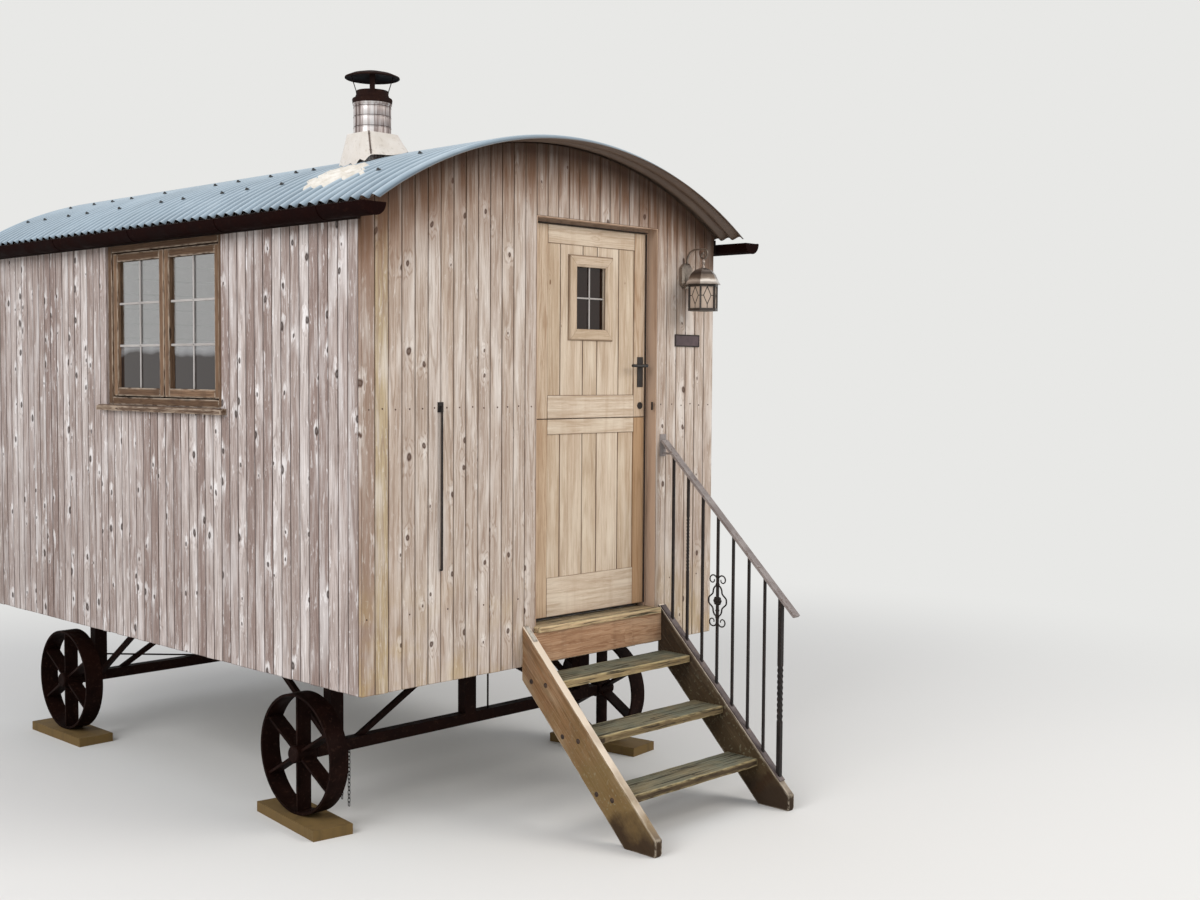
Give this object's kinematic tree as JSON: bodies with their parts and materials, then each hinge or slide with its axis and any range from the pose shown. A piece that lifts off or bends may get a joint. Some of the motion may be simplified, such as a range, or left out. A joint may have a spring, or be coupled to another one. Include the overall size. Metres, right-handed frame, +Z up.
{
  "type": "shepherds hut",
  "caption": "Timber-clad shepherd's hut with an arched corrugated roof, stable door, steps with iron handrail, flue, gutters and spoked iron wheels.",
  "frame": {"origin": "bottom centre of the whole hut's box, on the ground", "axes": "+Z up, +Y from the door end to the rear end, +X to the right seen from the door end"},
  "size_m": [2.6666, 4.7818, 3.638],
  "materials": {
    "side_cladding": "weathered larch boards, silvered",
    "front_cladding": "weathered larch boards, warmer",
    "inner_boarding": "pale grey painted boards",
    "roof_steel": "pale blue-grey corrugated steel",
    "gutter_metal": "dark brown coated",
    "fascia_timber": "dark stained",
    "window_timber": "brown oak",
    "window_glass": "clear",
    "door_timber": "pale oak",
    "frame_timber": "oak",
    "threshold_timber": "weathered with algae",
    "tread_timber": "weathered, green with algae",
    "riser_timber": "reddish softwood",
    "stringer_timber": "yellow-brown softwood",
    "plank_timber": "weathered sleeper board",
    "rail_steel": "worn black paint",
    "baluster_iron": "black painted",
    "chassis_steel": "near-black paint",
    "wheel_iron": "near-black paint, brown dust",
    "flue_steel": "stainless",
    "flashing_metal": "cream coated",
    "lantern_metal": "pewter grey",
    "lantern_glass": "cream leaded",
    "door_iron": "black",
    "plate_slate": "blank slate-grey plate"
  },
  "bodies": {
    "hut": {"balusters": "baluster_iron", "cabin_hook": "door_iron", "ceiling": "inner_boarding", "chassis": "chassis_steel", "door_frame": "frame_timber", "door_hinges": "door_iron", "fascia_boards": "fascia_timber", "floor": "inner_boarding", "flue_cowl": "flue_steel", "flue_flashing": "flashing_metal", "flue_pipe": "flue_steel", "foot_bar": "rail_steel", "front_axle": "chassis_steel", "front_wall_left": "front_cladding", "front_wall_over_door": "front_cladding", "front_wall_right": "front_cladding", "front_wall_under_door": "front_cladding", "gutter_left": "gutter_metal", "gutter_right": "gutter_metal", "handrail": "rail_steel", "lantern_bracket": "lantern_metal", "lantern_cage": "lantern_metal", "lantern_cap": "lantern_metal", "lantern_glass": "lantern_glass", "left_casements": "window_timber", "left_stringer": "stringer_timber", "left_wall": "side_cladding", "left_window_frame": "window_timber", "left_window_glass": "window_glass", "left_window_sill": "window_timber", "ornamental_baluster": "baluster_iron", "rear_axle": "chassis_steel", "rear_wall": "side_cladding", "right_casements": "window_timber", "right_stringer": "stringer_timber", "right_wall": "side_cladding", "right_window_frame": "window_timber", "right_window_glass": "window_glass", "right_window_sill": "window_timber", "roof_sheet": "roof_steel", "step_riser_board": "riser_timber", "threshold": "threshold_timber", "tread_1": "tread_timber", "tread_2": "tread_timber", "tread_3": "tread_timber", "wall_plate": "plate_slate", "wheel_planks": "plank_timber"},
    "door": {"door_lower_leaf": "door_timber", "door_upper_leaf": "door_timber", "door_light_moulding": "door_timber", "door_glass": "window_glass", "door_handle": "door_iron"},
    "wheel_front_left_body": {"wheel_front_left": "wheel_iron"},
    "wheel_front_right_body": {"wheel_front_right": "wheel_iron"},
    "wheel_rear_left_body": {"wheel_rear_left": "wheel_iron"},
    "wheel_rear_right_body": {"wheel_rear_right": "wheel_iron"}
  },
  "joints": [
    {"name": "door_hinge", "type": "hinge", "parent": "hut", "child": "door", "pos_m": [-0.123, -1.43405, 1.938], "axis": [0, 0, -1], "range_deg": [0, 95]},
    {"name": "wheel_front_left_spin", "type": "hinge", "parent": "hut", "child": "wheel_front_left_body", "pos_m": [-1.035, -0.81908, 0.34], "axis": [1, 0, 0], "continuous": true},
    {"name": "wheel_front_right_spin", "type": "hinge", "parent": "hut", "child": "wheel_front_right_body", "pos_m": [1.035, -0.81908, 0.34], "axis": [1, 0, 0], "continuous": true},
    {"name": "wheel_rear_left_spin", "type": "hinge", "parent": "hut", "child": "wheel_rear_left_body", "pos_m": [-1.035, 1.55592, 0.34], "axis": [1, 0, 0], "continuous": true},
    {"name": "wheel_rear_right_spin", "type": "hinge", "parent": "hut", "child": "wheel_rear_right_body", "pos_m": [1.035, 1.55592, 0.34], "axis": [1, 0, 0], "continuous": true}
  ]
}
